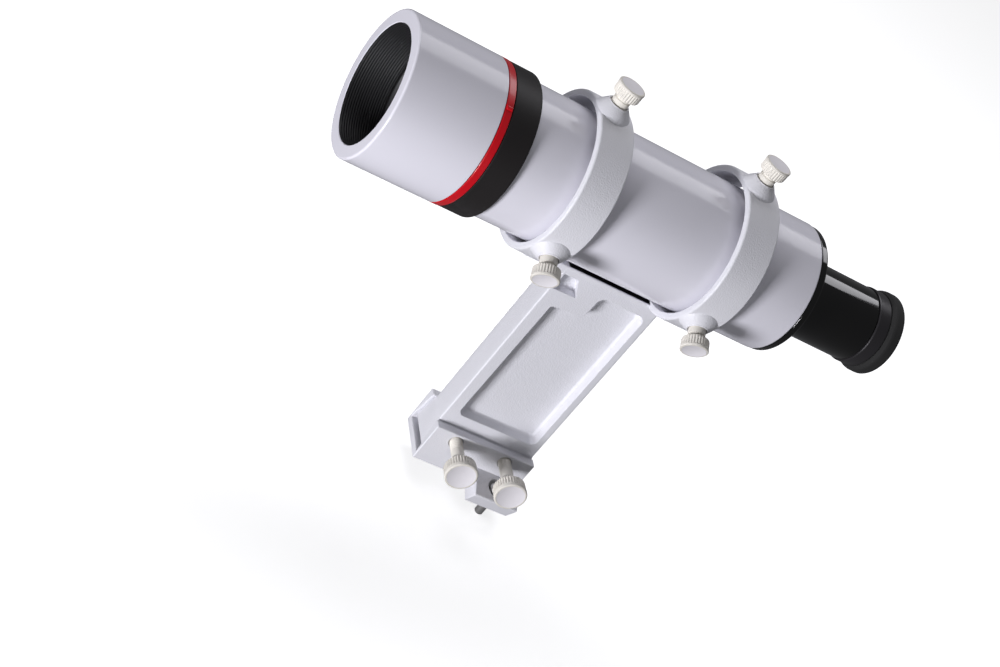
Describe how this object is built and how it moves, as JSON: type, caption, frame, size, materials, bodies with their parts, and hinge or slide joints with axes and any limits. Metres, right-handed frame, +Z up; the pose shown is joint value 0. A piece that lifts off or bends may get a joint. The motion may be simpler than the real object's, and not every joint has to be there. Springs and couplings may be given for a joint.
{
  "type": "finder telescope",
  "caption": "Straight-through 50 mm finder telescope with cross wires, in a white two-ring bracket with six nylon adjusting screws, on a dovetail shoe with a saddle flange.",
  "frame": {"origin": "on the flat underside of the dovetail shoe's front part, on its mid plane", "axes": "+X along the optical axis from the objective to the eye, +Z up from the shoe to the tube, +Y to the observer's right when looking through the eyepiece towards -X"},
  "size_m": [0.255, 0.0864, 0.2024],
  "materials": {
    "white_gloss_paint": "glossy white paint over turned aluminium",
    "white_cast_paint": "satin white paint over cast aluminium, finely textured",
    "red_anodised": "glossy red anodised aluminium",
    "matt_black_anodised": "satin black anodised aluminium",
    "spacer_foil": "thin grey spacer ring",
    "gloss_black": "gloss black painted aluminium",
    "satin_black_bezel": "satin dark grey anodised aluminium",
    "crown_glass": "coated crown glass",
    "flint_glass": "flint glass",
    "eyepiece_glass": "coated glass",
    "cross_wire": "blackened steel wire",
    "eyecup_rubber": "matte black rubber",
    "ivory_nylon": "ivory nylon",
    "zinc_steel": "zinc-plated steel"
  },
  "bodies": {
    "shoe": {"dovetail_shoe": "white_cast_paint", "shoe_screw_near": "zinc_steel", "shoe_screw_far": "zinc_steel"},
    "bracket": {"bracket_body": "white_cast_paint"},
    "front_clamp_screw": {"clamp_screw_front": "ivory_nylon"},
    "rear_clamp_screw": {"clamp_screw_rear": "ivory_nylon"},
    "finder_tube": {"main_tube": "white_gloss_paint", "front_baffle": "matt_black_anodised", "rear_baffle": "matt_black_anodised", "rear_plate": "gloss_black", "eyepiece_barrel": "gloss_black", "reticle_ring": "matt_black_anodised", "eyepiece_spacer_tube": "matt_black_anodised", "crosshair": "cross_wire", "field_lens": "eyepiece_glass", "eyepiece_lens_spacer": "matt_black_anodised", "eye_lens": "eyepiece_glass", "eyepiece_retaining_ring": "matt_black_anodised", "eye_bezel": "satin_black_bezel", "eyecup": "eyecup_rubber"},
    "objective": {"objective_crown_lens": "crown_glass", "objective_lens_spacer": "spacer_foil", "objective_flint_lens": "flint_glass", "objective_retaining_ring": "matt_black_anodised"},
    "dew_shield_unit": {"dew_shield": "white_gloss_paint", "red_accent_ring": "red_anodised", "objective_cell": "matt_black_anodised"},
    "lock_ring": {"focus_lock_ring": "matt_black_anodised"},
    "front_top_adjuster": {"front_top_screw": "ivory_nylon"},
    "front_near_adjuster": {"front_near_screw": "ivory_nylon"},
    "front_far_adjuster": {"front_far_screw": "ivory_nylon"},
    "rear_top_adjuster": {"rear_top_screw": "ivory_nylon"},
    "rear_near_adjuster": {"rear_near_screw": "ivory_nylon"},
    "rear_far_adjuster": {"rear_far_screw": "ivory_nylon"}
  },
  "joints": [
    {"name": "bracket_slide", "type": "slide", "parent": "shoe", "child": "bracket", "axis": [1, 0, 0], "range_m": [0, 0.048]},
    {"name": "front_clamp", "type": "slide", "parent": "shoe", "child": "front_clamp_screw", "axis": [0, -1, 0], "range_m": [0, 0.005]},
    {"name": "rear_clamp", "type": "slide", "parent": "shoe", "child": "rear_clamp_screw", "axis": [0, -1, 0], "range_m": [0, 0.005]},
    {"name": "tube_tilt", "type": "hinge", "parent": "bracket", "child": "finder_tube", "pos_m": [-0.047, 0, 0.145], "axis": [0, -1, 0], "range_deg": [-0.9, 0.9]},
    {"name": "focus_travel", "type": "slide", "parent": "finder_tube", "child": "objective", "axis": [1, 0, 0], "range_m": [-0.003, 0]},
    {"name": "dew_shield_turn", "type": "hinge", "parent": "objective", "child": "dew_shield_unit", "pos_m": [-0.135, 0, 0.145], "axis": [1, 0, 0], "range_deg": [0, 1080]},
    {"name": "lock_ring_turn", "type": "hinge", "parent": "objective", "child": "lock_ring", "pos_m": [-0.085, 0, 0.145], "axis": [1, 0, 0], "range_deg": [0, 90]},
    {"name": "front_top_adjust", "type": "slide", "parent": "bracket", "child": "front_top_adjuster", "axis": [0, 0, 1], "range_m": [0, 0.004]},
    {"name": "front_near_adjust", "type": "slide", "parent": "bracket", "child": "front_near_adjuster", "axis": [0, -0.866, -0.5], "range_m": [0, 0.004]},
    {"name": "front_far_adjust", "type": "slide", "parent": "bracket", "child": "front_far_adjuster", "axis": [0, 0.866, -0.5], "range_m": [0, 0.004]},
    {"name": "rear_top_adjust", "type": "slide", "parent": "bracket", "child": "rear_top_adjuster", "axis": [0, 0, 1], "range_m": [-0.0012, 0.0012]},
    {"name": "rear_near_adjust", "type": "slide", "parent": "bracket", "child": "rear_near_adjuster", "axis": [0, -0.866, -0.5], "range_m": [-0.0012, 0.0012]},
    {"name": "rear_far_adjust", "type": "slide", "parent": "bracket", "child": "rear_far_adjuster", "axis": [0, 0.866, -0.5], "range_m": [-0.0012, 0.0012]}
  ],
  "couplings": [
    {"joint": "focus_travel", "follows": "dew_shield_turn", "m_per_rad": -0.00015915},
    {"joint": "rear_top_adjust", "follows": "tube_tilt", "m_per_rad": 0.0737},
    {"joint": "rear_near_adjust", "follows": "tube_tilt", "m_per_rad": -0.03685},
    {"joint": "rear_far_adjust", "follows": "tube_tilt", "m_per_rad": -0.03685}
  ]
}
